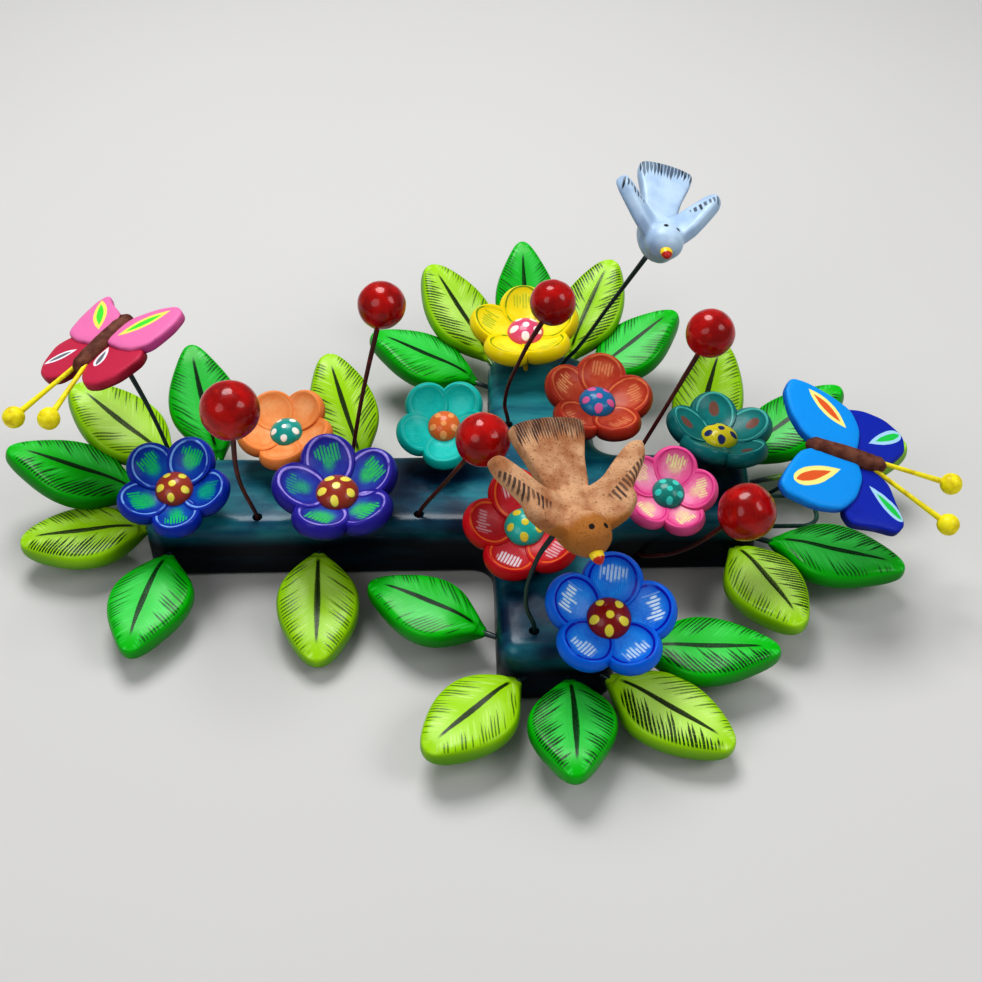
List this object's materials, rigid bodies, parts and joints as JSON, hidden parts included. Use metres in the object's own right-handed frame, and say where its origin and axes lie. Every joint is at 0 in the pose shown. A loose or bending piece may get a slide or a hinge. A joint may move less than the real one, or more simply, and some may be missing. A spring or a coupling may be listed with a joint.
{
  "type": "clay tree of life wall cross",
  "caption": "Painted clay cross lying on its back, covered with clay leaves, cupped flowers, red berries, birds and butterflies on springy wires, with a wire hanging loop",
  "frame": {"origin": "on the flat back, under the middle of the crossing", "axes": "+Z out of the front of the cross, -X towards its foot, +X towards its head and hanging loop, Y along its side arms"},
  "size_m": [0.3612, 0.2642, 0.1102],
  "materials": {
    "body_teal": "deep teal paint with darker clouding under a clear lacquer, fairly glossy",
    "leaf_green": "mid green paint with dark green veins, satin lacquer",
    "leaf_lime": "lime green paint with dark green veins, satin lacquer",
    "flower_navy": "navy petals with pale blue outlines and green strokes, brown heart with yellow dots",
    "flower_orange": "orange petals, teal heart with white dots",
    "flower_violet": "violet petals with lilac outlines and green strokes, brown heart with yellow dots",
    "flower_turquoise": "turquoise petals, orange heart",
    "flower_yellow": "yellow petals with green outlines, pink heart with white dots",
    "flower_terracotta": "terracotta petals with pale strokes, blue heart with pink dots",
    "flower_red": "red petals with orange outlines and white strokes, turquoise heart with yellow dots",
    "flower_pink": "pink petals with magenta outlines and pale strokes, teal heart with turquoise dots",
    "flower_teal": "dark teal petals with pale outlines and brown spots, yellow heart with dark dots",
    "flower_blue": "blue petals with dark blue outlines and white strokes, dark red heart with yellow dots",
    "berry_red": "deep red paint under gloss lacquer",
    "bird_white": "pale blue-white paint with black strokes, yellow and red beak",
    "bird_tan": "bare pitted clay with black strokes, yellow and red beak",
    "butterfly_pink": "pink and crimson wings with drop-shaped spots, brown body",
    "butterfly_blue": "bright blue and dark blue wings with drop-shaped spots, brown body",
    "antenna_yellow": "bright yellow paint, satin",
    "wire_dark": "dark green paint on wire",
    "wire_red": "dark red paint on wire",
    "wire_loop": "green-black paint on wire"
  },
  "bodies": {
    "root": {"cross_body": "body_teal", "hanging_loop": "wire_loop", "leaf_1": "leaf_green", "leaf_2": "leaf_lime", "leaf_3": "leaf_lime", "leaf_4": "leaf_green", "leaf_5": "leaf_green", "leaf_6": "leaf_lime", "leaf_7": "leaf_lime", "leaf_8": "leaf_green", "leaf_9": "leaf_lime", "leaf_10": "leaf_green", "leaf_11": "leaf_lime", "leaf_12": "leaf_green", "leaf_13": "leaf_lime", "leaf_14": "leaf_green", "leaf_15": "leaf_lime", "leaf_16": "leaf_green", "leaf_17": "leaf_green", "leaf_18": "leaf_lime", "leaf_19": "leaf_green", "leaf_20": "leaf_lime", "leaf_21": "leaf_lime", "leaf_22": "leaf_green", "flower_navy": "flower_navy", "flower_orange": "flower_orange", "flower_violet": "flower_violet", "flower_turquoise": "flower_turquoise", "flower_yellow": "flower_yellow", "flower_terracotta": "flower_terracotta", "flower_red": "flower_red", "flower_pink": "flower_pink", "flower_teal": "flower_teal", "flower_blue": "flower_blue"},
    "berry_body_1": {"berry_wire_1": "wire_red", "berry_1": "berry_red"},
    "berry_body_2": {"berry_wire_2": "wire_red", "berry_2": "berry_red"},
    "berry_body_3": {"berry_wire_3": "wire_red", "berry_3": "berry_red"},
    "berry_body_4": {"berry_wire_4": "wire_red", "berry_4": "berry_red"},
    "berry_body_5": {"berry_wire_5": "wire_red", "berry_5": "berry_red"},
    "berry_body_6": {"berry_wire_6": "wire_red", "berry_6": "berry_red"},
    "bird_body_tan": {"bird_wire_tan": "wire_dark", "bird_tan": "bird_tan"},
    "bird_body_white": {"bird_wire_white": "wire_dark", "bird_white": "bird_white"},
    "butterfly_body_magenta": {"butterfly_wire_magenta": "wire_dark", "butterfly_magenta": "butterfly_pink", "antenna_magenta_left": "antenna_yellow", "antenna_magenta_right": "antenna_yellow"},
    "butterfly_body_azure": {"butterfly_wire_azure": "wire_dark", "butterfly_azure": "butterfly_blue", "antenna_azure_left": "antenna_yellow", "antenna_azure_right": "antenna_yellow"}
  },
  "joints": [
    {"name": "berry_sway_1", "type": "hinge", "parent": "root", "child": "berry_body_1", "pos_m": [-0.077, 0.011, 0.02], "axis": [1, 0, 0], "range_deg": [-4, 4], "stiffness_Nm_per_rad": 1.5},
    {"name": "berry_sway_2", "type": "hinge", "parent": "root", "child": "berry_body_2", "pos_m": [-0.109, -0.0145, 0.02], "axis": [0, 1, 0], "range_deg": [-4, 4], "stiffness_Nm_per_rad": 1.5},
    {"name": "berry_sway_3", "type": "hinge", "parent": "root", "child": "berry_body_3", "pos_m": [-0.013, 0.036, 0.02], "axis": [0, 1, 0], "range_deg": [-4, 4], "stiffness_Nm_per_rad": 1.5},
    {"name": "berry_sway_4", "type": "hinge", "parent": "root", "child": "berry_body_4", "pos_m": [-0.051, -0.014, 0.02], "axis": [0, 1, 0], "range_deg": [-4, 4], "stiffness_Nm_per_rad": 1.5},
    {"name": "berry_sway_5", "type": "hinge", "parent": "root", "child": "berry_body_5", "pos_m": [0.033, 0.013, 0.02], "axis": [0, 1, 0], "range_deg": [-4, 4], "stiffness_Nm_per_rad": 1.5},
    {"name": "berry_sway_6", "type": "hinge", "parent": "root", "child": "berry_body_6", "pos_m": [0.031, -0.015, 0.005], "axis": [0, 1, 0], "range_deg": [-4, 4], "stiffness_Nm_per_rad": 1.5},
    {"name": "bird_sway_tan", "type": "hinge", "parent": "root", "child": "bird_body_tan", "pos_m": [-0.008, -0.073, 0.02], "axis": [0, 1, 0], "range_deg": [-4, 4], "stiffness_Nm_per_rad": 1.5},
    {"name": "bird_sway_white", "type": "hinge", "parent": "root", "child": "bird_body_white", "pos_m": [0.009, 0.071, 0.02], "axis": [0, 1, 0], "range_deg": [-4, 4], "stiffness_Nm_per_rad": 1.5},
    {"name": "butterfly_sway_magenta", "type": "hinge", "parent": "root", "child": "butterfly_body_magenta", "pos_m": [-0.141, 0.004, 0.02], "axis": [0, 1, 0], "range_deg": [-4, 4], "stiffness_Nm_per_rad": 1.5},
    {"name": "butterfly_sway_azure", "type": "hinge", "parent": "root", "child": "butterfly_body_azure", "pos_m": [0.075, 0.001, 0.016], "axis": [0, 1, 0], "range_deg": [-4, 4], "stiffness_Nm_per_rad": 1.5}
  ]
}
